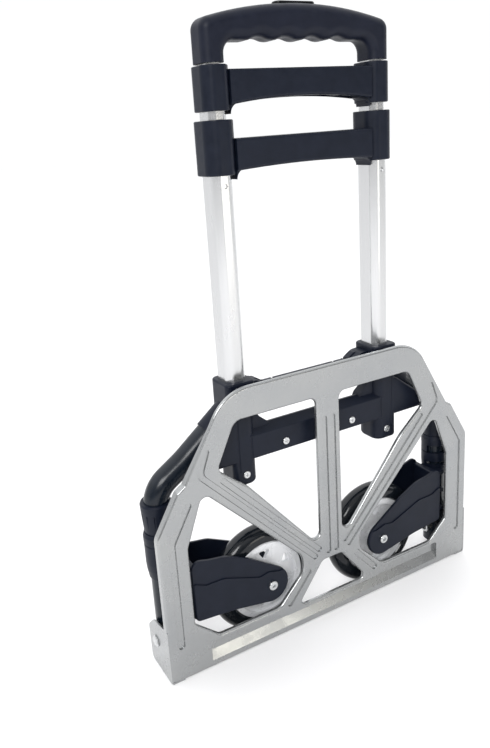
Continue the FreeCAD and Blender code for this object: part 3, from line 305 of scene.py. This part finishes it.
def build_springs():
    """Real coils for the two return springs, whose CAD node gives only their outer form."""
    wire = spring_steel()
    low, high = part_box("release_springs")
    coil_radius = (high[1] - low[1]) / 2 - SPRING_WIRE
    middle_y = (high[1] + low[1]) / 2
    sides = {
        "right": high[0] - coil_radius - SPRING_WIRE,
        "left": low[0] + coil_radius + SPRING_WIRE,
    }
    for name, across in sides.items():
        axis = Vector((across, middle_y, 0))
        mesh = coil_mesh(axis, low[2], high[2], coil_radius, SPRING_WIRE, SPRING_TURNS)
        spring = new_piece("return_spring_" + name, mesh, wire, "handle_stage",
                           ("release_springs",))
        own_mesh(spring)


# ---------------------------------------------------------------- stage, light and camera
WALL_LIGHT = 1.02             # studio brightness behind the hand truck
ROOM_LIGHT = 0.28             # and in front of it
CEILING_LIGHT = 0.75          # more from above
STUDIO_WHITE = (0.985, 0.99, 1.0, 1)
FLOOR_SIZE = 15.0             # half its width
FLOOR_CELLS = 60
FLOOR_DROP = 0.0002           # keeps it clear of what stands on it


def floor_material():
    """Matt white paper with hardly visible clouds."""
    look = Look("floor", Specular_IOR_Level=0.2)
    look.colour(look.noise(700, 2), (0.90, 0.895, 0.895), (0.92, 0.915, 0.92))
    look.roughness(look.noise(300, 2), 0.5, 0.6)
    return look.material


def build_stage():
    """Pale flat floor, large enough to reach the horizon."""
    mesh = bpy.data.meshes.new("floor")
    paper = bmesh.new()
    bmesh.ops.create_grid(paper, x_segments=FLOOR_CELLS, y_segments=FLOOR_CELLS, size=FLOOR_SIZE)
    for v in paper.verts:
        v.co.z = -FLOOR_DROP
    paper.to_mesh(mesh)
    paper.free()
    floor = bpy.data.objects.new("floor", mesh)
    bpy.context.scene.collection.objects.link(floor)
    mesh.materials.append(floor_material())


def softbox(name, position, target, size, power, colour=(1, 1, 1)):
    """Large rectangular light that faces the target, its power in watts."""
    data = bpy.data.lights.new(name, "AREA")
    data.shape = "RECTANGLE"
    data.size, data.size_y = size
    data.energy = power
    data.color = colour
    lamp = bpy.data.objects.new(name, data)
    bpy.context.scene.collection.objects.link(lamp)
    lamp.location = position
    lamp.rotation_euler = (Vector(target) - Vector(position)).to_track_quat("-Z", "Y").to_euler()


def faded(tree, direction, start, end, low, high):
    """Value that runs from low to high as one part of the view direction runs from start to end."""
    fade = tree.nodes.new("ShaderNodeMapRange")
    fade.interpolation_type = "SMOOTHSTEP"
    fade.inputs["From Min"].default_value = start
    fade.inputs["From Max"].default_value = end
    fade.inputs["To Min"].default_value = low
    fade.inputs["To Max"].default_value = high
    tree.links.new(direction, fade.inputs["Value"])
    return fade.outputs["Result"]


def build_light():
    """White wall behind, a dimmer room in front, a bright ceiling, and three softboxes.

    The camera sees the wall's white all round, whichever side it looks from.
    """
    world = bpy.data.worlds.new("studio")
    bpy.context.scene.world = world
    world.use_nodes = True
    tree = world.node_tree
    background = tree.nodes["Background"]
    background.inputs["Color"].default_value = STUDIO_WHITE
    direction = tree.nodes.new("ShaderNodeSeparateXYZ")
    place = tree.nodes.new("ShaderNodeTexCoord").outputs["Generated"]
    tree.links.new(place, direction.inputs["Vector"])
    total = tree.nodes.new("ShaderNodeMath")
    total.operation = "ADD"
    wall = faded(tree, direction.outputs["Y"], start=-0.35, end=0.4, low=ROOM_LIGHT, high=WALL_LIGHT)
    ceiling = faded(tree, direction.outputs["Z"], start=0.2, end=0.75, low=0.0, high=CEILING_LIGHT)
    tree.links.new(wall, total.inputs[0])
    tree.links.new(ceiling, total.inputs[1])
    seen = tree.nodes.new("ShaderNodeMix")
    camera_ray = tree.nodes.new("ShaderNodeLightPath").outputs["Is Camera Ray"]
    tree.links.new(camera_ray, seen.inputs["Factor"])
    tree.links.new(total.outputs["Value"], seen.inputs["A"])
    seen.inputs["B"].default_value = WALL_LIGHT
    tree.links.new(seen.outputs["Result"], background.inputs["Strength"])
    softbox("key", position=(-1.7, -1.8, 1.8), target=(0, 0, 0.2), size=(1.3, 1.0), power=44)
    softbox("side", position=(2.4, -0.6, 1.1), target=(0, 0, 0.3), size=(0.5, 1.6), power=6)
    softbox("low_front", position=(0.8, -2.6, 0.26), target=(0, 0, 0.1), size=(0.8, 0.5), power=5,
            colour=(1.0, 0.96, 0.86))


CAMERA_AT = (-0.4006, -0.5703, 0.5230)
CAMERA_AZIMUTH = 28.39        # degrees, from +Y towards +X
CAMERA_DOWN = 16.13
CAMERA_ROLL = -4.02
FOCAL_LENGTH = 33.87          # millimetres, on a sensor of this width
SENSOR_WIDTH = 36.0
FRAME_SHIFT = (0.0185, -0.0537)
NEAREST_SEEN = 0.02


def build_camera():
    """Camera in front and to the left, as high as the cross bars, looking down at the plate."""
    data = bpy.data.cameras.new("camera")
    data.lens = FOCAL_LENGTH
    data.sensor_width = SENSOR_WIDTH
    data.shift_x, data.shift_y = FRAME_SHIFT
    data.clip_start = NEAREST_SEEN
    camera = bpy.data.objects.new("camera", data)
    bpy.context.scene.collection.objects.link(camera)
    turn = (Matrix.Rotation(math.radians(-CAMERA_AZIMUTH), 4, "Z")
            @ Matrix.Rotation(math.radians(90 - CAMERA_DOWN), 4, "X")
            @ Matrix.Rotation(math.radians(CAMERA_ROLL), 4, "Z"))
    camera.matrix_world = Matrix.Translation(CAMERA_AT) @ turn
    bpy.context.scene.camera = camera


def build():
    """Dress the model, add what the CAD leaves out, and set the studio round it."""
    bpy.context.scene.view_settings.view_transform = "Standard"
    dress_nodes()
    build_springs()
    build_stage()
    build_light()
    build_camera()


build()
